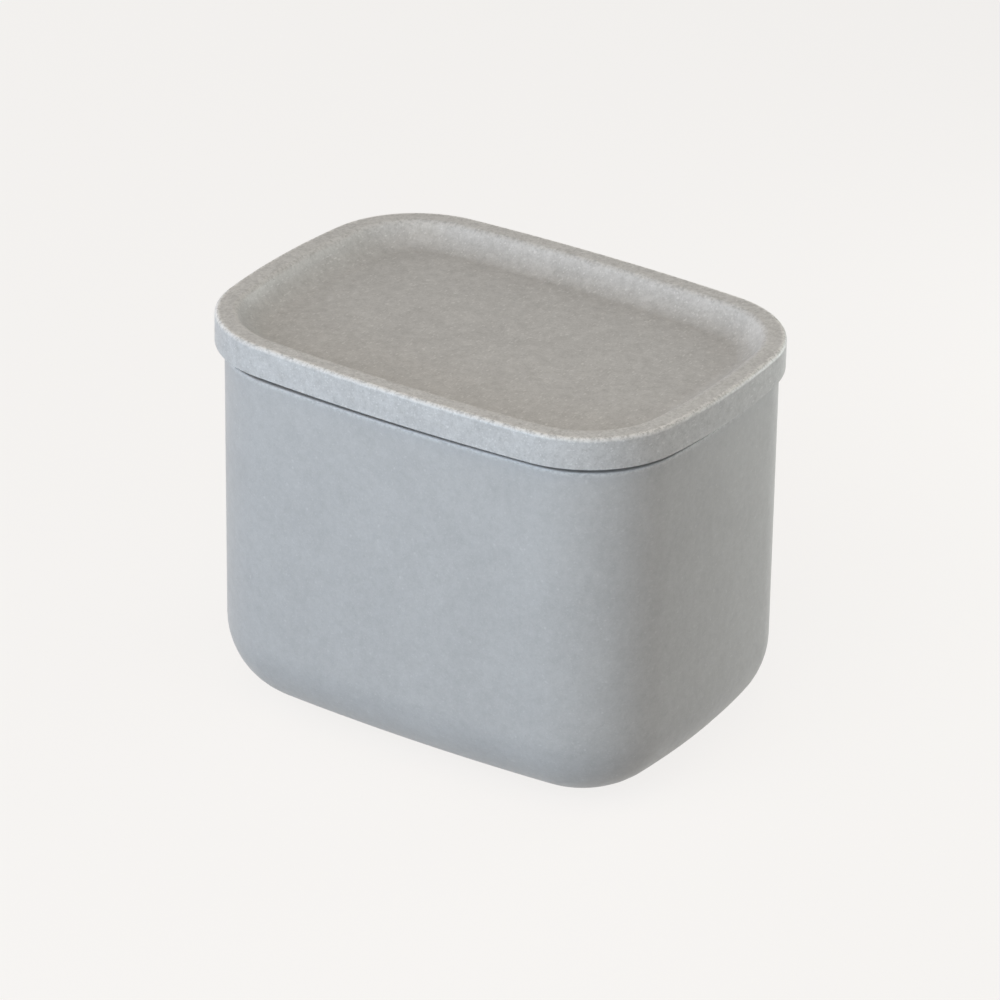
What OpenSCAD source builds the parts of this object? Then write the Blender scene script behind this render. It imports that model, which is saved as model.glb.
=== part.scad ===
// Bathroom canister: a softly bowed rounded box with a loose lid whose top is a tray.
// Millimetres, +Z up. X runs along the long side and -Y is the front. The origin is under
// the middle of the body, on the surface that the pads stand on.

/* [Outline seen from above] */
// Length of the lid
lid_length = 140.5; // [120:0.5:180]
// Depth of the lid, front to back
lid_depth = 103.2; // [92:0.1:130]
// Radius of the lid's four corners
corner_radius = 29.1; // [28:0.1:34]
// How far the middle of each long side bows out
long_side_bow = 1.4; // [0.5:0.05:2]
// How far the middle of each short side bows out
short_side_bow = 1.25; // [0.5:0.05:2]

/* [Body] */
// Height of the body from its base to its rim
body_height = 100.3; // [70:0.1:160]
// How far a centred lid stands out past the body, all round
lid_overhang = 2.2; // [1:0.1:3]
// Thickness of the body's wall and floor
wall = 4; // [3:0.1:5]
// How far the large round between the wall and the base ends from each corner's centre
corner_flat = 4.1; // [4.1:0.1:14]
// Radius of the two edges of the rim
rim_round = 0.5; // [0.3:0.1:1.2]

/* [Lid] */
// Height of the lid's upright edge
lid_edge_height = 8.7; // [7.5:0.1:12]
// Radius of the lid's upper outer edge
lid_upper_round = 1.1; // [0.8:0.1:2.5]
// Radius of the lid's lower outer edge
lid_lower_round = 0.5; // [0.3:0.1:1]
// Width of the flat band round the tray, between its two rounded edges
tray_band_width = 3.4; // [2:0.1:4]
// Depth of the tray below the band
tray_depth = 5.6; // [4.8:0.1:6]
// Radius where the band turns down into the tray's side
tray_lip_round = 2.4; // [1.5:0.1:3]
// Radius of the hollow between the tray's side and its floor
tray_floor_round = 8.5; // [7:0.5:9]
// Slope of the tray's side, in degrees
tray_slope = 53.1301; // [45:0.0001:58]

/* [Locating ring under the lid] */
// How far the ring reaches down into the body
ring_height = 6; // [4.5:0.5:10]
// Thickness of the ring
ring_thickness = 3; // [2.2:0.1:4]
// Play between the ring and the body's wall, all round, with the lid centred
ring_play = 2.4; // [2.2:0.1:3]
// Radius of the ring's two lower edges
ring_edge_round = 0.8; // [0.4:0.1:1]

/* [The loose lid at rest] */
// How far the lid lies to the left of the body's middle
lid_shift_left = 0.8; // [0:0.1:1.2]
// How far the lid lies behind the body's middle
lid_shift_back = 0.3; // [0:0.1:1]
// How far the lid is turned clockwise, seen from above, in degrees
lid_turn = 0.8; // [0:0.1:1]
// How much higher the lid's front edge lies than its back edge, in degrees
lid_rock_front = 0.95; // [0:0.05:1.2]

/* [Pads under the base] */
// Diameter of each pad
pad_diameter = 12; // [8:0.5:14]
// Thickness of each pad
pad_thickness = 1.8; // [1.2:0.1:2.4]
// How far each pad stands out below the base
pad_proud = 1; // [0.6:0.1:1.1]
// Radius of each pad's lower edge
pad_edge_round = 0.5; // [0.2:0.1:0.6]
// Gap between a pad and its recess, all round
pad_gap = 0.15; // [0.05:0.05:0.3]
// Least distance from a recess to the start of the large round
pad_margin = 1.5; // [1:0.5:3]

/* [Hidden] */

// Overrun of every cut past the face that it opens
cut_over = 1;
// Overrun of every sector past its two spokes, in degrees, before they cut it
turn_over = 2;
// Radius left inside each corner where the swept sections end
core_radius = 1;
// Least distance that the flat core plates reach back into the swept sections
core_lap = 1;
// Fineness of the drawing
side_facets = 360;
corner_facets = 72;
section_facets = 28;
pad_facets = 72;

// The outline is eight arcs that meet smoothly. A bowed side's arc, moved in by the corner
// radius, passes through two corners' centres, so its reach follows from its bow.
half_length = lid_length / 2;
half_depth = lid_depth / 2;
corner_x = half_length - corner_radius - short_side_bow;
corner_y = half_depth - corner_radius - long_side_bow;
right_reach = (corner_y ^ 2 + short_side_bow ^ 2) / (2 * short_side_bow);
back_reach = (corner_x ^ 2 + long_side_bow ^ 2) / (2 * long_side_bow);
right_centre = corner_x + short_side_bow - right_reach;
back_centre = corner_y + long_side_bow - back_reach;

// Directions, from a corner's centre, of the points where it meets its two sides
right_turn = atan2(corner_y, corner_x - right_centre);
back_turn = atan2(corner_y - back_centre, corner_x);

// Each spoke parts two arcs: its corner's centre and its direction, anticlockwise
SPOKES = [
    [[corner_x, corner_y], right_turn],
    [[corner_x, corner_y], back_turn],
    [[-corner_x, corner_y], 180 - back_turn],
    [[-corner_x, corner_y], 180 - right_turn],
    [[-corner_x, -corner_y], 180 + right_turn],
    [[-corner_x, -corner_y], 180 + back_turn],
    [[corner_x, -corner_y], 360 - back_turn],
    [[corner_x, -corner_y], 360 - right_turn]
];

// The arc that ends at each spoke: its centre, radius and fineness
ARCS = [
    [[right_centre, 0], right_reach + corner_radius, side_facets],
    [[corner_x, corner_y], corner_radius, corner_facets],
    [[0, back_centre], back_reach + corner_radius, side_facets],
    [[-corner_x, corner_y], corner_radius, corner_facets],
    [[-right_centre, 0], right_reach + corner_radius, side_facets],
    [[-corner_x, -corner_y], corner_radius, corner_facets],
    [[0, -back_centre], back_reach + corner_radius, side_facets],
    [[corner_x, -corner_y], corner_radius, corner_facets]
];

// Sections are drawn by their distance in from the lid's outline. They all end here.
section_end = corner_radius - core_radius;
core_reach = core_radius + max(long_side_bow, short_side_bow) + core_lap;

// The spokes reach past the outline, and the sectors are cut to them above and below it too
spoke_share = 1.5;
sector_height = body_height + ring_height;
function spoke_end(spoke) =
    spoke[0] + spoke_share * corner_radius * [cos(spoke[1]), sin(spoke[1])];

// The body stands on its pads, and its outline lies inside the lid's by the overhang. The
// large round is as large as the corners let it be.
base_z = pad_proud;
rim_z = base_z + body_height;
flat_start = corner_radius - corner_flat;
base_round = flat_start - lid_overhang;
inner_round = base_round - wall;

// The lid's upright edge, band and tray, in from its outline and up from its underside
lip_start = lid_upper_round + tray_band_width;
turn_drop = (tray_lip_round + tray_floor_round) * (1 - cos(tray_slope));
slope_length = (tray_depth - turn_drop) / sin(tray_slope);
lip_end = lip_start + tray_lip_round * sin(tray_slope);
lip_end_z = lid_edge_height - tray_lip_round * (1 - cos(tray_slope));
slope_end = lip_end + slope_length * cos(tray_slope);
slope_end_z = lip_end_z - slope_length * sin(tray_slope);
tray_edge = slope_end + tray_floor_round * sin(tray_slope);
tray_z = lid_edge_height - tray_depth;

// The ring hangs inside the body's mouth
ring_outside = lid_overhang + wall + ring_play;

// The loose lid rests on the rim's back edge, and lies higher towards the front
lid_lift = (half_depth - lid_overhang - lid_shift_back) * tan(lid_rock_front);

// The pads lie near the corners, on the flat of the base
recess_radius = pad_diameter / 2 + pad_gap;
recess_depth = pad_thickness - pad_proud;
pad_step = max(0, pad_margin + recess_radius - corner_flat);
pad_x = corner_x - pad_step;
pad_y = corner_y - pad_step;

// A quarter of a disc or ring in the corner between +X and +Y
module quarter(outside, inside = 0) {
    intersection() {
        difference() {
            circle(outside, $fn = section_facets);
            if (inside > 0) circle(inside, $fn = section_facets);
        }
        square(outside);
    }
}

// A bar's section with two rounded corners at its top
module round_topped(width, height, round) {
    square([width, height - round]);
    translate([round, height - round]) square([width - 2 * round, round]);
    translate([round, height - round]) mirror([1, 0]) quarter(round);
    translate([width - round, height - round]) quarter(round);
}

// Sweeps a section round the whole outline, in eight sectors that meet on the spokes
module around_outline() {
    for (index = [0:len(ARCS) - 1]) {
        arc = ARCS[index];
        end_spoke = SPOKES[index];
        start_spoke = SPOKES[(index + len(SPOKES) - 1) % len(SPOKES)];
        sweep = (end_spoke[1] - start_spoke[1] + 360) % 360;
        intersection() {
            translate(arc[0])
                rotate_extrude(
                    start = start_spoke[1] - turn_over,
                    angle = sweep + 2 * turn_over,
                    $fn = arc[2]
                )
                    translate([arc[1], 0])
                        mirror([1, 0])
                            children();
            translate([0, 0, -sector_height])
                linear_extrude(2 * sector_height)
                    polygon([
                        start_spoke[0],
                        spoke_end(start_spoke),
                        spoke_end(end_spoke),
                        end_spoke[0]
                    ]);
        }
    }
}

// A flat plate that closes the middle, inside the swept section
module core_plate(low, high) {
    translate([0, 0, low])
        linear_extrude(high - low)
            polygon([
                for (spoke = SPOKES) spoke[0] + core_reach * [cos(spoke[1]), sin(spoke[1])]
            ]);
}

// Section of the body's wall, large round and floor, up from the base
module body_section() {
    translate([lid_overhang, base_round])
        round_topped(wall, body_height - base_round, rim_round);
    translate([flat_start, base_round])
        rotate(180)
            quarter(base_round, inner_round);
    translate([flat_start, 0])
        square([section_end - flat_start, wall]);
}

// Section of the lid's edge, band, tray and locating ring, up from its underside
module lid_section() {
    // Edge and band
    translate([lid_lower_round, 0])
        square([lip_start - lid_lower_round, lid_lower_round]);
    translate([0, lid_lower_round])
        square([lip_start, lid_edge_height - lid_lower_round - lid_upper_round]);
    translate([lid_upper_round, lid_edge_height - lid_upper_round])
        square([tray_band_width, lid_upper_round]);
    translate([lid_lower_round, lid_lower_round]) rotate(180) quarter(lid_lower_round);
    translate([lid_upper_round, lid_edge_height - lid_upper_round])
        mirror([1, 0])
            quarter(lid_upper_round);

    // Lip, and the slope under it
    lip_centre = [lip_start, lid_edge_height - tray_lip_round];
    lip_reach = 2 * tray_lip_round;
    translate(lip_centre)
        intersection() {
            circle(tray_lip_round, $fn = section_facets);
            polygon([
                [0, 0],
                [0, lip_reach],
                [lip_reach, lip_reach],
                lip_reach * [sin(tray_slope), cos(tray_slope)]
            ]);
        }
    polygon([
        [lip_start, 0],
        [slope_end, 0],
        [slope_end, slope_end_z],
        [lip_end, lip_end_z],
        lip_centre
    ]);

    // Hollow round at the foot of the slope, and the start of the floor
    difference() {
        polygon([
            [slope_end, 0],
            [tray_edge, 0],
            [tray_edge, tray_z],
            [slope_end, slope_end_z]
        ]);
        translate([tray_edge, tray_z + tray_floor_round])
            circle(tray_floor_round, $fn = section_facets);
    }
    translate([tray_edge, 0])
        square([section_end - tray_edge, tray_z]);

    // Locating ring
    translate([ring_outside, 0])
        mirror([0, 1])
            round_topped(ring_thickness, ring_height, ring_edge_round);
}

// Pad stuck in its recess, with a rounded lower edge
module pad(side_x, side_y) {
    radius = pad_diameter / 2;
    color("gainsboro")
        translate([side_x * pad_x, side_y * pad_y, 0])
            rotate_extrude($fn = pad_facets) {
                translate([0, pad_edge_round])
                    square([radius, pad_thickness - pad_edge_round]);
                square([radius - pad_edge_round, pad_edge_round]);
                translate([radius - pad_edge_round, pad_edge_round])
                    mirror([0, 1])
                        quarter(pad_edge_round);
            }
}

// One-piece body: bowed walls, large base round and floor, with four pad recesses
module canister_body() {
    color("silver")
        translate([0, 0, base_z])
            difference() {
                union() {
                    around_outline() body_section();
                    core_plate(0, wall);
                }
                for (side_x = [-1, 1], side_y = [-1, 1])
                    translate([side_x * pad_x, side_y * pad_y, -cut_over])
                        cylinder(cut_over + recess_depth, r = recess_radius, $fn = pad_facets);
            }
}

// One-piece lid: upright edge, flat band, sloping tray, and the ring that keeps it in place
module tray_lid() {
    color("lightgray")
        translate([-lid_shift_left, lid_shift_back, rim_z + lid_lift])
            rotate([-lid_rock_front, 0, 0])
                rotate(-lid_turn) {
                    around_outline() lid_section();
                    core_plate(0, tray_z);
                }
}

canister_body();
tray_lid();
pad(-1, -1);  // pad_front_left
pad(1, -1);  // pad_front_right
pad(-1, 1);  // pad_back_left
pad(1, 1);  // pad_back_right
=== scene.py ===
"""Looks of the bathroom canister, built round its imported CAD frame. Metres, +Z up, -Y the front."""

from math import asin, cos, degrees, pi, radians, sin, tan

import bmesh
import bpy
from mathutils import Matrix, Vector


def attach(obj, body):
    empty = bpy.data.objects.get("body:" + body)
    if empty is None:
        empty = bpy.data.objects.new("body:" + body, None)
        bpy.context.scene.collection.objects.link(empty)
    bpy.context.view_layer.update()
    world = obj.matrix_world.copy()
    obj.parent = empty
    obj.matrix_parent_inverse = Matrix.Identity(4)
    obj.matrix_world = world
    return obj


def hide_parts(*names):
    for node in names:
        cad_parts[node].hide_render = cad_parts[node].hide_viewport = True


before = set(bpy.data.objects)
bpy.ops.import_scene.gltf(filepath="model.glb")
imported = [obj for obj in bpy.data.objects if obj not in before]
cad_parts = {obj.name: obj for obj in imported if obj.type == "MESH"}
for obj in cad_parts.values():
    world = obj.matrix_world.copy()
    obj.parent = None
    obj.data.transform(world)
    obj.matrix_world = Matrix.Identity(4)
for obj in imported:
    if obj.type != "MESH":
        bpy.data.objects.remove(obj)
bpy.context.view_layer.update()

# Outline seen from above, as in the CAD source
LID_LENGTH = 0.1405
LID_DEPTH = 0.1032
CORNER_RADIUS = 0.0291
LONG_SIDE_BOW = 0.0014
SHORT_SIDE_BOW = 0.00125

# Body
BODY_HEIGHT = 0.1003
LID_OVERHANG = 0.0022
WALL = 0.004
CORNER_FLAT = 0.0041
RIM_ROUND = 0.0005

# Lid
LID_EDGE_HEIGHT = 0.0087
LID_UPPER_ROUND = 0.0011
LID_LOWER_ROUND = 0.0005
TRAY_BAND_WIDTH = 0.0034
TRAY_DEPTH = 0.0056
TRAY_LIP_ROUND = 0.0024
TRAY_FLOOR_ROUND = 0.0085
TRAY_SLOPE = radians(53.1301)

# Locating ring under the lid
RING_HEIGHT = 0.006
RING_THICKNESS = 0.003
RING_PLAY = 0.0024
RING_EDGE_ROUND = 0.0008

# The loose lid at rest
LID_SHIFT_LEFT = 0.0008
LID_SHIFT_BACK = 0.0003
LID_TURN = radians(0.8)
LID_ROCK_FRONT = radians(0.95)

# Pads under the base
PAD_DIAMETER = 0.012
PAD_THICKNESS = 0.0018
PAD_PROUD = 0.001
PAD_EDGE_ROUND = 0.0005
PAD_GAP = 0.00015
PAD_MARGIN = 0.0015
PAD_CORE_SHARE = 0.2

# Where the sanded look of the edges and the painted highlight on them turn, in degrees round the
# section:
# strongest on the tray's lip and on the upper outer edge, and already fading further down that edge
LIP_CREST = 70
EDGE_CREST = 98
EDGE_FADE = 125

# How sanded each place is, from 0 to 1, and how far a sanded edge reaches past its round. Most of
# these also paint a highlight into the edges' colour, on top of the sanding
RIM_WEAR_AND_HIGHLIGHT = 0.35
SLOPE_WEAR_AND_HIGHLIGHT = 0.2
LIP_WEAR_AND_HIGHLIGHT = 0.45
BAND_WEAR_AND_HIGHLIGHT = 0.28
EDGE_START_WEAR_AND_HIGHLIGHT = 0.7
EDGE_CREST_WEAR_AND_HIGHLIGHT = 1
EDGE_FADE_WEAR_AND_HIGHLIGHT = 0.65
FACE_WEAR_AND_HIGHLIGHT = 0.1
LOWER_START_WEAR_AND_HIGHLIGHT = 0.2
LOWER_END_WEAR_AND_HIGHLIGHT = 0.5
RING_WEAR = 0.5
WEAR_AND_HIGHLIGHT_FADE = 0.0010

# Fineness of the meshes, and how far short of the corners' centres the sections end
CORNER_STEPS = 28
SIDE_STEPS = 24
ROUND_STEP = radians(6)
PAD_STEPS = 96
SHARP_ANGLE = radians(40)
SECTION_MARGIN = 0.001

# Sizes that follow from these
HALF_LENGTH = LID_LENGTH / 2
HALF_DEPTH = LID_DEPTH / 2
CORNER_X = HALF_LENGTH - CORNER_RADIUS - SHORT_SIDE_BOW
CORNER_Y = HALF_DEPTH - CORNER_RADIUS - LONG_SIDE_BOW
SECTION_END = CORNER_RADIUS - SECTION_MARGIN
FLAT_START = CORNER_RADIUS - CORNER_FLAT
BASE_ROUND = FLAT_START - LID_OVERHANG
RECESS_RADIUS = PAD_DIAMETER / 2 + PAD_GAP


# Outline and sections


def mirrored(pairs, x_sign, y_sign):
    """Points with their directions, turned over along X, along Y or along both."""
    return [
        (Vector((x_sign * point.x, y_sign * point.y)), Vector((x_sign * way.x, y_sign * way.y)))
        for point, way in pairs
    ]


def outline():
    """Points of the lid's outline with their outward directions.

    They run anticlockwise from the middle of the right side.
    """
    right_reach = (CORNER_Y**2 + SHORT_SIDE_BOW**2) / (2 * SHORT_SIDE_BOW)
    back_reach = (CORNER_X**2 + LONG_SIDE_BOW**2) / (2 * LONG_SIDE_BOW)
    right_turn = asin(CORNER_Y / right_reach)
    back_turn = pi / 2 - asin(CORNER_X / back_reach)
    right_centre = (CORNER_X + SHORT_SIDE_BOW - right_reach, 0)
    back_centre = (0, CORNER_Y + LONG_SIDE_BOW - back_reach)
    stretches = [
        (right_centre, right_reach, 0, right_turn, SIDE_STEPS // 2),
        ((CORNER_X, CORNER_Y), 0, right_turn, back_turn, CORNER_STEPS),
        (back_centre, back_reach, back_turn, pi / 2, SIDE_STEPS // 2),
    ]
    quarter = []
    for centre, reach, start, end, steps in stretches:
        for step in range(steps):
            angle = start + (end - start) * step / steps
            way = Vector((cos(angle), sin(angle)))
            quarter.append((Vector(centre) + (reach + CORNER_RADIUS) * way, way))
    quarter.append((Vector((0, HALF_DEPTH)), Vector((0, 1))))
    back_half = quarter + mirrored(reversed(quarter[:-1]), -1, 1)
    front_half = mirrored(back_half[1:-1], 1, -1)
    return back_half + front_half[::-1]


def arc(centre, radius, start, end, wear_and_highlight_ends=(0, 0)):
    """Points of a round in a section, its angles in degrees, with its wear and painted highlight at both
    ends.
    """
    steps = max(2, round(abs(radians(end - start)) / ROUND_STEP))
    points = []
    for step in range(steps + 1):
        share = step / steps
        angle = radians(start + (end - start) * share)
        wear_and_highlight = wear_and_highlight_ends[0] + (wear_and_highlight_ends[1] - wear_and_highlight_ends[0]) * share
        points.append((centre[0] + radius * cos(angle), centre[1] + radius * sin(angle), wear_and_highlight))
    return points


def body_section():
    """Inset, height and wear with painted highlight, from mid base, over the rim, to mid floor."""
    foot = (FLAT_START, BASE_ROUND)
    rim = BODY_HEIGHT - RIM_ROUND
    inside = LID_OVERHANG + WALL
    return [
        (SECTION_END, 0, 0),
        *arc(foot, BASE_ROUND, 270, 180),
        (LID_OVERHANG, rim - WEAR_AND_HIGHLIGHT_FADE, 0),
        *arc((LID_OVERHANG + RIM_ROUND, rim), RIM_ROUND, 180, 90, (RIM_WEAR_AND_HIGHLIGHT, 0)),
        *arc((inside - RIM_ROUND, rim), RIM_ROUND, 90, 0, (0, RIM_WEAR_AND_HIGHLIGHT)),
        (inside, rim - WEAR_AND_HIGHLIGHT_FADE, 0),
        *arc(foot, BASE_ROUND - WALL, 180, 270),
        (SECTION_END, WALL, 0),
    ]


def lid_section():
    """Inset, height and wear with painted highlight, from mid tray to mid underside.

    On its way it passes the tray's lip and band, the upright edge and the locating ring.
    """
    slope = degrees(TRAY_SLOPE)
    lip_start = LID_UPPER_ROUND + TRAY_BAND_WIDTH
    rounds = TRAY_LIP_ROUND + TRAY_FLOOR_ROUND
    slope_length = (TRAY_DEPTH - rounds * (1 - cos(TRAY_SLOPE))) / sin(TRAY_SLOPE)
    tray_edge = lip_start + rounds * sin(TRAY_SLOPE) + slope_length * cos(TRAY_SLOPE)
    tray_z = LID_EDGE_HEIGHT - TRAY_DEPTH
    ring_outside = LID_OVERHANG + WALL + RING_PLAY
    ring_inside = ring_outside + RING_THICKNESS
    ring_foot = RING_EDGE_ROUND - RING_HEIGHT
    lip = (lip_start, LID_EDGE_HEIGHT - TRAY_LIP_ROUND)
    upper = (LID_UPPER_ROUND, LID_EDGE_HEIGHT - LID_UPPER_ROUND)
    lower = (LID_LOWER_ROUND, LID_LOWER_ROUND)
    ring_wears = (RING_WEAR, RING_WEAR)
    return [
        (SECTION_END, tray_z, 0),
        *arc((tray_edge, tray_z + TRAY_FLOOR_ROUND), TRAY_FLOOR_ROUND, 270, 270 - slope),
        *arc(lip, TRAY_LIP_ROUND, 90 - slope, LIP_CREST, (SLOPE_WEAR_AND_HIGHLIGHT, LIP_WEAR_AND_HIGHLIGHT)),
        *arc(lip, TRAY_LIP_ROUND, LIP_CREST, 90, (LIP_WEAR_AND_HIGHLIGHT, BAND_WEAR_AND_HIGHLIGHT))[1:],
        (LID_UPPER_ROUND + WEAR_AND_HIGHLIGHT_FADE / 2, LID_EDGE_HEIGHT, BAND_WEAR_AND_HIGHLIGHT),
        *arc(upper, LID_UPPER_ROUND, 90, EDGE_CREST, (EDGE_START_WEAR_AND_HIGHLIGHT, EDGE_CREST_WEAR_AND_HIGHLIGHT)),
        *arc(upper, LID_UPPER_ROUND, EDGE_CREST, EDGE_FADE, (EDGE_CREST_WEAR_AND_HIGHLIGHT, EDGE_FADE_WEAR_AND_HIGHLIGHT))[1:],
        *arc(upper, LID_UPPER_ROUND, EDGE_FADE, 180, (EDGE_FADE_WEAR_AND_HIGHLIGHT, FACE_WEAR_AND_HIGHLIGHT))[1:],
        (0, LID_LOWER_ROUND + WEAR_AND_HIGHLIGHT_FADE / 2, FACE_WEAR_AND_HIGHLIGHT),
        *arc(lower, LID_LOWER_ROUND, 180, 270, (LOWER_START_WEAR_AND_HIGHLIGHT, LOWER_END_WEAR_AND_HIGHLIGHT)),
        (LID_LOWER_ROUND + WEAR_AND_HIGHLIGHT_FADE, 0, 0),
        (ring_outside, 0, 0),
        (ring_outside, ring_foot + WEAR_AND_HIGHLIGHT_FADE, 0),
        *arc((ring_outside + RING_EDGE_ROUND, ring_foot), RING_EDGE_ROUND, 180, 270, ring_wears),
        *arc((ring_inside - RING_EDGE_ROUND, ring_foot), RING_EDGE_ROUND, 270, 360, ring_wears),
        (ring_inside, ring_foot + WEAR_AND_HIGHLIGHT_FADE, 0),
        (ring_inside, 0, 0),
        (SECTION_END, 0, 0),
    ]


# Meshes


def join_rings(builder, rings):
    """Joins neighbouring rings of vertices with faces, and closes the first and the last."""
    for lower, upper in zip(rings, rings[1:]):
        count = len(lower)
        for i in range(count):
            j = (i + 1) % count
            builder.faces.new((lower[i], lower[j], upper[j], upper[i]))
    builder.faces.new(rings[0])
    builder.faces.new(rings[-1])


def finish_mesh(name, builder, material):
    """Turns a bmesh into a smooth object with its material."""
    bmesh.ops.recalc_face_normals(builder, faces=builder.faces)
    mesh = bpy.data.meshes.new(name)
    builder.to_mesh(mesh)
    builder.free()
    for face in mesh.polygons:
        face.use_smooth = True
    mesh.set_sharp_from_angle(angle=SHARP_ANGLE)
    mesh.materials.append(material)
    thing = bpy.data.objects.new(name, mesh)
    bpy.context.scene.collection.objects.link(thing)
    smooth = thing.modifiers.new("even_shading", "WEIGHTED_NORMAL")
    smooth.keep_sharp = True
    return thing


def sweep(name, section, material):
    """Sweeps a section of insets, heights and wears with painted highlight round the outline."""
    builder = bmesh.new()
    wear_and_highlight_layer = builder.verts.layers.float.new("wear_and_highlight")
    path = outline()
    rings = []
    for inset, height, wear_and_highlight in section:
        ring = []
        for point, way in path:
            spot = point - inset * way
            vert = builder.verts.new((spot.x, spot.y, height))
            # Each vertex keeps its wear, which also carries the highlight painted along the edges
            vert[wear_and_highlight_layer] = wear_and_highlight
            ring.append(vert)
        rings.append(ring)
    join_rings(builder, rings)
    return finish_mesh(name, builder, material)


def lathe(name, section, centre, material):
    """Turns a section of reaches and heights about the upright line through a centre."""
    builder = bmesh.new()
    rings = []
    for reach, height in section:
        ring = []
        for step in range(PAD_STEPS):
            angle = 2 * pi * step / PAD_STEPS
            ring.append(builder.verts.new((reach * cos(angle), reach * sin(angle), height)))
        rings.append(ring)
    join_rings(builder, rings)
    bmesh.ops.translate(builder, verts=builder.verts, vec=centre)
    return finish_mesh(name, builder, material)


# Materials

# Noises of the composite, each with its scale per metre, detail and roughness
CLOUD_NOISE = (60, 3, 0.5)
MOTTLE_NOISE = (230, 3, 0.6)
PATCH_NOISE = (520, 3, 0.6)
GRAIN_NOISE = (2000, 3, 0.7)
BREAK_NOISE = (1100, 3, 0.65)
GLOSS_NOISE = (500, 2, 0.5)

# How much they shade the composite: the clouds by themselves, the others by its contrast, with
# a drop that keeps its mean
CLOUD_SHADE = 0.14
CLOUD_LOW = 0.93
MOTTLE_SHADE = 0.36
PATCH_SHADE = 0.68
GRAIN_SHADE = 0.75
SHADE_DROP = 0.86

# Specks of the composite, each with its spacing, its size and the share of places that have one,
# and how light they are against the base
FIBRES = (0.0010, 0.00028, 0.3)
LIGHT_SPECKS = (0.0030, 0.00042, 0.6)
DARK_SPECKS = (0.0012, 0.00032, 0.35)
FIBRE_LIGHTNESS = 1.45
LIGHT_SPECK_LIGHTNESS = 1.6
DARK_SPECK_LIGHTNESS = 0.6

# Directions of the fibres and of the light specks, turned about the upright, and the fibres' stretch
FIBRE_TURNS = (radians(20), radians(75), radians(140))
FIBRE_LENGTH = 2.6
LIGHT_SPECK_TURN = 0.5

# Outline of every speck: how fine and how deep its ragged edge is, and its full middle
RAGGED_SCALE = 3.2
RAGGED_DEPTH = 0.5
SPECK_MIDDLE_SHARE = 0.4

# Sanded places, lightened further by a painted highlight: where the breaks in them start and end, how
# much they cover, and their grey
BREAK_RANGE = (0.36, 0.58)
SANDED_AND_HIGHLIGHT_COVER = 0.9
SANDED_AND_HIGHLIGHT_GREY = 0.86

# Gloss and relief of the composite
ROUGHNESS_SPREAD = 0.2
ROUGHNESS_LOW = 0.28
PATCH_RELIEF = 0.8
GRAIN_RELIEF = 0.3
COMPOSITE_RELIEF_DEPTH = 0.00012
COMPOSITE_IOR = 1.45

# Rubber of the pads
RUBBER_CLOUD_NOISE = (300, 3)
RUBBER_CLOUD_RANGE = (0.35, 0.65)
RUBBER_DARK = 0.56
RUBBER_LIGHT = 0.64
RUBBER_WARMTH = 0.02
DUST_NOISE = (1900, 2)
DUST_RANGE = (0.62, 0.72)
DUST_COVER = 0.3
DUST_GREY = 0.4
DUST_WARMTH = 0.04
RUBBER_ROUGHNESS_SPREAD = 0.25
RUBBER_ROUGHNESS_LOW = 0.5
RUBBER_RELIEF = 0.3
RUBBER_RELIEF_DEPTH = 0.00005
RUBBER_IOR = 1.42


class Graph:
    """The node tree of a material or world, with short ways to add nodes and link them."""

    def __init__(self, owner):
        owner.use_nodes = True
        self.owner = owner
        self.tree = owner.node_tree
        self.tree.nodes.clear()

    def fill(self, socket, value):
        """Links a socket to another one, or sets it to a plain value."""
        if isinstance(value, bpy.types.NodeSocket):
            self.tree.links.new(value, socket)
        else:
            socket.default_value = value

    def add(self, kind, sockets=None, **settings):
        node = self.tree.nodes.new(kind)
        for key, value in settings.items():
            setattr(node, key, value)
        for key, value in (sockets or {}).items():
            self.fill(node.inputs[key], value)
        return node

    def math(self, operation, *values):
        return self.add("ShaderNodeMath", dict(enumerate(values)), operation=operation).outputs[0]

    def noise(self, place, scale, detail=2, roughness=0.5):
        sockets = {"Vector": place, "Scale": scale, "Detail": detail, "Roughness": roughness}
        return self.add("ShaderNodeTexNoise", sockets).outputs["Fac"]

    def step(self, value, low, high):
        """0 at low, 1 at high, with a smooth rise between them. Low may be the larger one."""
        sockets = {"Value": value, "From Min": low, "From Max": high}
        return self.add("ShaderNodeMapRange", sockets, interpolation_type="SMOOTHSTEP").outputs["Result"]

    def mix(self, share, first, second):
        sockets = {0: share, 6: first, 7: second}
        return self.add("ShaderNodeMix", sockets, data_type="RGBA").outputs[2]

    def mix_shaders(self, share, first, second):
        return self.add("ShaderNodeMixShader", {0: share, 1: first, 2: second}).outputs[0]

    def seen(self):
        """1 for rays of the camera and rays that it sees reflected or through, 0 for all others."""
        rays = self.add("ShaderNodeLightPath").outputs
        direct = self.math("MAXIMUM", rays["Is Camera Ray"], rays["Is Glossy Ray"])
        return self.math("MAXIMUM", direct, rays["Is Transmission Ray"])

    def surface(self, color, roughness, height, strength, depth, ior):
        """Ends a material in a surface with a relief, and returns the material."""
        relief = {"Height": height, "Strength": strength, "Distance": depth}
        normal = self.add("ShaderNodeBump", relief).outputs[0]
        sockets = {"Base Color": color, "Roughness": roughness, "Normal": normal, "IOR": ior}
        shader = self.add("ShaderNodeBsdfPrincipled", sockets).outputs[0]
        self.add("ShaderNodeOutputMaterial", {"Surface": shader})
        return self.owner


def grey(level, warmth=0.0):
    """A grey of that level, warmer above 0 and cooler below."""
    return (level * (1 + warmth), level, level * (1 - warmth), 1.0)


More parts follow.
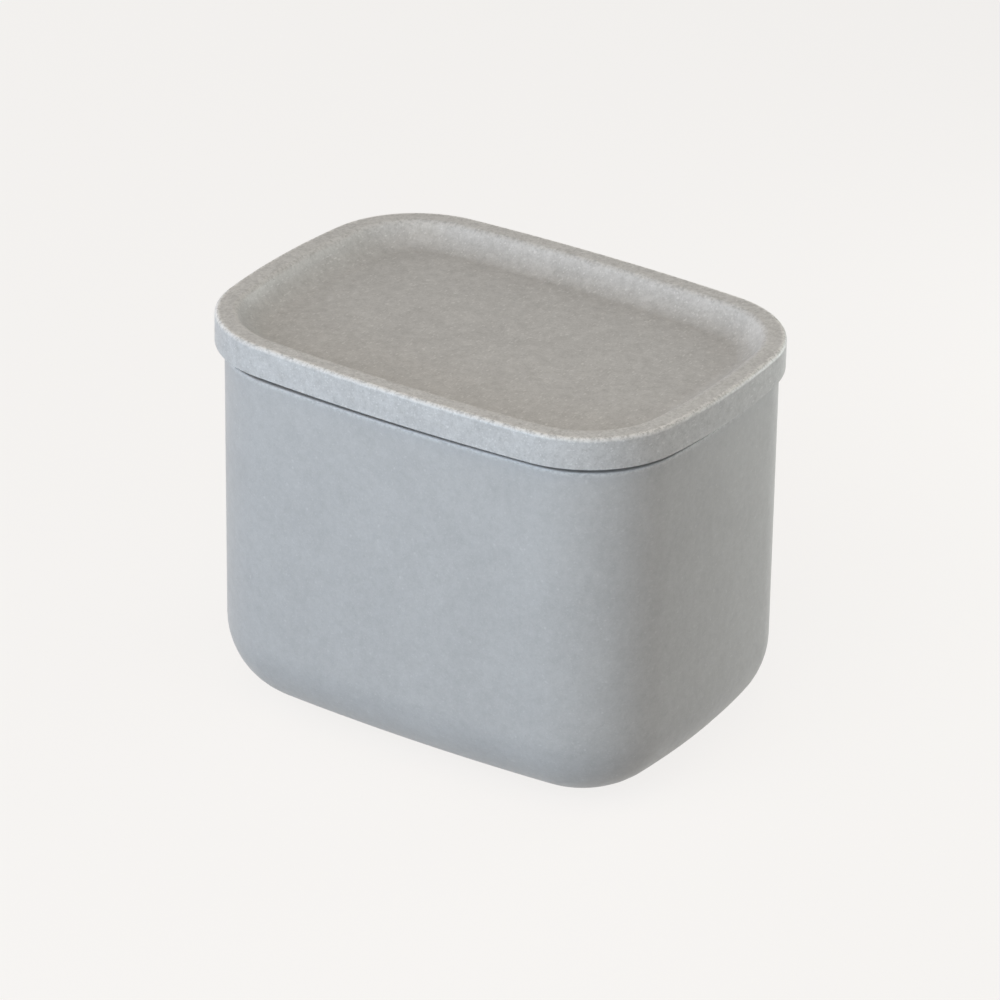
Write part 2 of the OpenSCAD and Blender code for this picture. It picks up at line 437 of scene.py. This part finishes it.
def flecks(graph, place, spacing, size, share, turn=0.0, length=1.0):
    """Scattered irregular specks: how far apart, how large, and which share of the places has one.

    A length above 1 draws them out into short fibres, along a direction turned about the upright.
    """
    sockets = {"Vector": place, "Rotation": (0.0, 0.0, turn), "Scale": (1.0, 1 / length, 1.0)}
    drawn = graph.add("ShaderNodeMapping", sockets).outputs[0]
    shift = {0: drawn, 1: (turn, turn, turn)}
    shifted = graph.add("ShaderNodeVectorMath", shift, operation="ADD").outputs[0]
    spots = {"Vector": shifted, "Scale": 1 / spacing, "Randomness": 1.0}
    cells = graph.add("ShaderNodeTexVoronoi", spots).outputs
    lottery = graph.add("ShaderNodeSeparateColor", {0: cells["Color"]}).outputs[0]
    chosen = graph.math("LESS_THAN", lottery, share)
    edge = graph.noise(shifted, RAGGED_SCALE / spacing)
    ragged = graph.math("MULTIPLY_ADD", edge, RAGGED_DEPTH, -RAGGED_DEPTH / 2)
    reach = graph.math("ADD", cells["Distance"], ragged)
    spot = graph.step(reach, size / spacing, SPECK_MIDDLE_SHARE * size / spacing)
    return graph.math("MULTIPLY", chosen, spot)


def composite(name, base, contrast, fibres, lights, darks, relief):
    """Moulded fibre composite: fine grain, short light fibres, dark specks, clouds, and sanded edges
    with a highlight painted on them.

    Base is its mean grey. The other numbers say how strongly its grain, its fibres, its light and
    dark specks and its relief show.
    """
    graph = Graph(bpy.data.materials.new(name))
    place = graph.add("ShaderNodeTexCoord").outputs["Object"]
    wear_and_highlight = graph.add("ShaderNodeAttribute", attribute_name="wear_and_highlight").outputs["Fac"]

    clouds = graph.noise(place, *CLOUD_NOISE)
    mottle = graph.noise(place, *MOTTLE_NOISE)
    patches = graph.noise(place, *PATCH_NOISE)
    grain = graph.noise(place, *GRAIN_NOISE)
    shade = graph.math("MULTIPLY_ADD", clouds, CLOUD_SHADE, CLOUD_LOW)
    for noise, strength in ((mottle, MOTTLE_SHADE), (patches, PATCH_SHADE), (grain, GRAIN_SHADE)):
        shade = graph.math("MULTIPLY_ADD", noise, strength * contrast, shade)
    level = graph.math("MULTIPLY", graph.math("SUBTRACT", shade, SHADE_DROP * contrast), base)
    color = graph.add("ShaderNodeCombineColor", {0: level, 1: level, 2: level}).outputs[0]

    specks = []
    for turn in FIBRE_TURNS:
        fibre = flecks(graph, place, *FIBRES, turn, FIBRE_LENGTH)
        specks.append((fibre, fibres, FIBRE_LIGHTNESS))
    light = flecks(graph, place, *LIGHT_SPECKS, LIGHT_SPECK_TURN)
    specks.append((light, lights, LIGHT_SPECK_LIGHTNESS))
    dark = flecks(graph, place, *DARK_SPECKS)
    specks.append((dark, darks, DARK_SPECK_LIGHTNESS))
    for spot, strength, lightness in specks:
        color = graph.mix(graph.math("MULTIPLY", spot, strength), color, grey(lightness * base))

    # The sanded places get a light grey that is partly real sanding and partly a painted highlight on
    # the edges
    breaks = graph.step(graph.noise(place, *BREAK_NOISE), *BREAK_RANGE)
    sanded_and_highlight = graph.math("MULTIPLY", wear_and_highlight, breaks)
    color = graph.mix(graph.math("MULTIPLY", sanded_and_highlight, SANDED_AND_HIGHLIGHT_COVER), color, grey(SANDED_AND_HIGHLIGHT_GREY))

    gloss = graph.noise(place, *GLOSS_NOISE)
    roughness = graph.math("MULTIPLY_ADD", gloss, ROUGHNESS_SPREAD, ROUGHNESS_LOW)
    fine = graph.math("MULTIPLY", grain, GRAIN_RELIEF)
    height = graph.math("MULTIPLY_ADD", patches, PATCH_RELIEF, fine)
    return graph.surface(color, roughness, height, relief, COMPOSITE_RELIEF_DEPTH, COMPOSITE_IOR)


def pad_rubber():
    """Soft grey rubber, faintly clouded, with fine dust on it."""
    graph = Graph(bpy.data.materials.new("pad_rubber"))
    place = graph.add("ShaderNodeTexCoord").outputs["Object"]
    clouds = graph.noise(place, *RUBBER_CLOUD_NOISE)
    dark, light = grey(RUBBER_DARK, RUBBER_WARMTH), grey(RUBBER_LIGHT, RUBBER_WARMTH)
    color = graph.mix(graph.step(clouds, *RUBBER_CLOUD_RANGE), dark, light)
    dust = graph.step(graph.noise(place, *DUST_NOISE), *DUST_RANGE)
    color = graph.mix(graph.math("MULTIPLY", dust, DUST_COVER), color, grey(DUST_GREY, DUST_WARMTH))
    roughness = graph.math("MULTIPLY_ADD", clouds, RUBBER_ROUGHNESS_SPREAD, RUBBER_ROUGHNESS_LOW)
    return graph.surface(color, roughness, dust, RUBBER_RELIEF, RUBBER_RELIEF_DEPTH, RUBBER_IOR)


# The pieces


def build_body():
    """The jar, with a lighter grain than the lid's and four recesses for the pads."""
    material = composite(
        "body_composite", base=0.443, contrast=0.34, fibres=0.18, lights=0.2, darks=0.12, relief=0.15
    )
    body = sweep("body_shell", body_section(), material)
    body.location.z = PAD_PROUD
    cut_recesses(body)
    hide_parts("canister_body")
    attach(body, "canister")


def pad_places():
    """Middles of the four pads, by their names."""
    inward = max(0, PAD_MARGIN + RECESS_RADIUS - CORNER_FLAT)
    x = CORNER_X - inward
    y = CORNER_Y - inward
    return {
        "pad_front_left": Vector((-x, -y, 0)),
        "pad_front_right": Vector((x, -y, 0)),
        "pad_back_left": Vector((-x, y, 0)),
        "pad_back_right": Vector((x, y, 0)),
    }


def cut_recesses(body):
    """Cuts the four shallow round recesses that hold the pads, before the shading is evened."""
    depth = PAD_THICKNESS - PAD_PROUD
    builder = bmesh.new()
    for place in pad_places().values():
        bmesh.ops.create_cone(
            builder,
            cap_ends=True,
            segments=PAD_STEPS,
            radius1=RECESS_RADIUS,
            radius2=RECESS_RADIUS,
            depth=2 * depth,
            matrix=Matrix.Translation(place + Vector((0, 0, PAD_PROUD))),
        )
    mesh = bpy.data.meshes.new("recess_cutter")
    builder.to_mesh(mesh)
    builder.free()
    cutter = bpy.data.objects.new("recess_cutter", mesh)
    bpy.context.scene.collection.objects.link(cutter)
    cut = body.modifiers.new("recesses", "BOOLEAN")
    cut.object = cutter
    cut.operation = "DIFFERENCE"
    cut.solver = "EXACT"
    body.modifiers.move(len(body.modifiers) - 1, 0)
    bpy.context.view_layer.update()
    with bpy.context.temp_override(object=body, active_object=body, selected_objects=[body]):
        bpy.ops.object.modifier_apply(modifier=cut.name)
    bpy.data.objects.remove(cutter)
    bpy.data.meshes.remove(mesh)


def build_lid():
    """The tray lid, lying loose on the jar's rim as it was put down."""
    material = composite(
        "lid_composite", base=0.472, contrast=0.7, fibres=0.5, lights=0.4, darks=0.25, relief=0.35
    )
    lid = sweep("lid_shell", lid_section(), material)
    lift = (HALF_DEPTH - LID_OVERHANG - LID_SHIFT_BACK) * tan(LID_ROCK_FRONT)
    lid.matrix_world = (
        Matrix.Translation((-LID_SHIFT_LEFT, LID_SHIFT_BACK, PAD_PROUD + BODY_HEIGHT + lift))
        @ Matrix.Rotation(-LID_ROCK_FRONT, 4, "X")
        @ Matrix.Rotation(-LID_TURN, 4, "Z")
    )
    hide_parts("tray_lid")
    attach(lid, "lid")


def build_pads():
    """Four rubber discs with a rounded lower edge."""
    radius = PAD_DIAMETER / 2
    core = PAD_CORE_SHARE * radius
    edge_centre = (radius - PAD_EDGE_ROUND, PAD_EDGE_ROUND)
    edge = [(reach, height) for reach, height, _ in arc(edge_centre, PAD_EDGE_ROUND, 270, 360)]
    section = [(core, 0), *edge, (radius, PAD_THICKNESS), (core, PAD_THICKNESS)]
    rubber = pad_rubber()
    for name, place in pad_places().items():
        pad = lathe(name + "_disc", section, place, rubber)
        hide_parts(name)
        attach(pad, "canister")


# Camera and light

VIEW_AZIMUTH = radians(32.607)
VIEW_ELEVATION = radians(27.469)
VIEW_ROLL = radians(0.846)
VIEW_DISTANCE = 1.5087
FOCAL_PIXELS = 5644.0
TARGET_RIGHT = 0.0002
TARGET_UP = 0.05241
IMAGE_PIXELS = 1000
SENSOR_MM = 36.0
NEAREST_SEEN = 0.01

# Square lamps that look at the canister's middle: name, direction they stand in, distance, side,
# watts and color
LAMPS = (
    ("front_left", (-0.6, -1.0, 0.55), 0.9, 0.6, 2.1, (1.0, 0.9, 0.87)),
    ("front", (0.2, -1.0, 0.6), 0.9, 0.6, 2.7, (0.81, 0.91, 1.0)),
    ("front_low", (-0.3, -1.0, 0.16), 0.9, 0.3, 2.5, (0.43, 0.71, 1.0)),
    ("front_top", (0.2, -0.5, 1.0), 0.9, 0.6, 2.2, (1.0, 0.81, 0.54)),
    ("right_top", (1.0, -0.1, 0.5), 0.9, 0.6, 0.9, (1.0, 0.98, 0.99)),
    ("right_back", (0.6, 1.0, 0.25), 0.4, 0.25, 0.75, (0.93, 1.0, 0.97)),
    ("left", (-1.0, 0.2, 0.2), 0.9, 0.6, 1.6, (1.0, 0.98, 0.96)),
)

# Light of the room, and the pale color that the camera sees all round
ROOM_LIGHT = (1.0, 0.98, 0.95, 1.0)
ROOM_LEVEL = 0.10
PALE = (0.905, 0.888, 0.871, 1.0)

# Floor: its even part in what the camera sees of it, that part's share, and the darker paint that
# it lights the canister with
FLOOR_GLOW = (0.953, 0.936, 0.919, 1.0)
GLOW_SHARE = 0.88
FLOOR_PAINT = (0.5, 0.49, 0.48, 1.0)

# Half the floor's side, and the room between the pads and the floor, so that their faces don't
# coincide
FLOOR_REACH = 3.0
FLOOR_DROP = 0.00005


def build_camera():
    """The camera at the angle and distance of the photograph."""
    back = Vector((
        sin(VIEW_AZIMUTH) * cos(VIEW_ELEVATION),
        -cos(VIEW_AZIMUTH) * cos(VIEW_ELEVATION),
        sin(VIEW_ELEVATION),
    ))
    level_right = Vector((cos(VIEW_AZIMUTH), sin(VIEW_AZIMUTH), 0))
    level_up = back.cross(level_right)
    right = level_right * cos(VIEW_ROLL) + level_up * sin(VIEW_ROLL)
    up = level_up * cos(VIEW_ROLL) - level_right * sin(VIEW_ROLL)
    data = bpy.data.cameras.new("camera")
    data.sensor_width = SENSOR_MM
    data.lens = FOCAL_PIXELS / IMAGE_PIXELS * SENSOR_MM
    data.clip_start = NEAREST_SEEN
    camera = bpy.data.objects.new("camera", data)
    bpy.context.scene.collection.objects.link(camera)
    place = level_right * TARGET_RIGHT + level_up * TARGET_UP + back * VIEW_DISTANCE
    turn = Matrix((right, up, back)).transposed().to_4x4()
    camera.matrix_world = Matrix.Translation(place) @ turn
    bpy.context.scene.camera = camera


def build_lamps():
    middle = Vector((0, 0, BODY_HEIGHT / 2))
    for name, direction, distance, side, watts, color in LAMPS:
        data = bpy.data.lights.new(name, "AREA")
        data.size = side
        data.energy = watts
        data.color = color
        lamp = bpy.data.objects.new(name, data)
        bpy.context.scene.collection.objects.link(lamp)
        way = Vector(direction).normalized()
        lamp.location = middle + way * distance
        lamp.rotation_euler = way.to_track_quat("Z", "Y").to_euler()


def build_world():
    """A dim even room that shows the camera and reflections its plain pale color."""
    world = bpy.data.worlds.new("pale_room")
    bpy.context.scene.world = world
    graph = Graph(world)
    light = graph.add("ShaderNodeBackground", {"Color": ROOM_LIGHT, "Strength": ROOM_LEVEL})
    pale = graph.add("ShaderNodeBackground", {"Color": PALE, "Strength": 1.0})
    room = graph.mix_shaders(graph.seen(), light.outputs[0], pale.outputs[0])
    graph.add("ShaderNodeOutputWorld", {"Surface": room})


def build_floor():
    """A pale floor that shows its even color to the camera and keeps a soft shadow."""
    graph = Graph(bpy.data.materials.new("pale_floor"))
    seen = graph.seen()
    paint = graph.add("ShaderNodeBsdfDiffuse", {"Color": graph.mix(seen, FLOOR_PAINT, PALE)})
    glow = graph.add("ShaderNodeEmission", {"Color": FLOOR_GLOW, "Strength": 1.0})
    share = graph.math("MULTIPLY", seen, GLOW_SHARE)
    surface = graph.mix_shaders(share, paint.outputs[0], glow.outputs[0])
    graph.add("ShaderNodeOutputMaterial", {"Surface": surface})
    builder = bmesh.new()
    bmesh.ops.create_grid(builder, x_segments=1, y_segments=1, size=FLOOR_REACH)
    mesh = bpy.data.meshes.new("floor")
    builder.to_mesh(mesh)
    builder.free()
    mesh.materials.append(graph.owner)
    floor = bpy.data.objects.new("floor", mesh)
    floor.location.z = -FLOOR_DROP
    bpy.context.scene.collection.objects.link(floor)


build_camera()
build_body()
build_lid()
build_pads()
build_floor()
build_lamps()
build_world()
bpy.context.scene.view_settings.view_transform = "Standard"
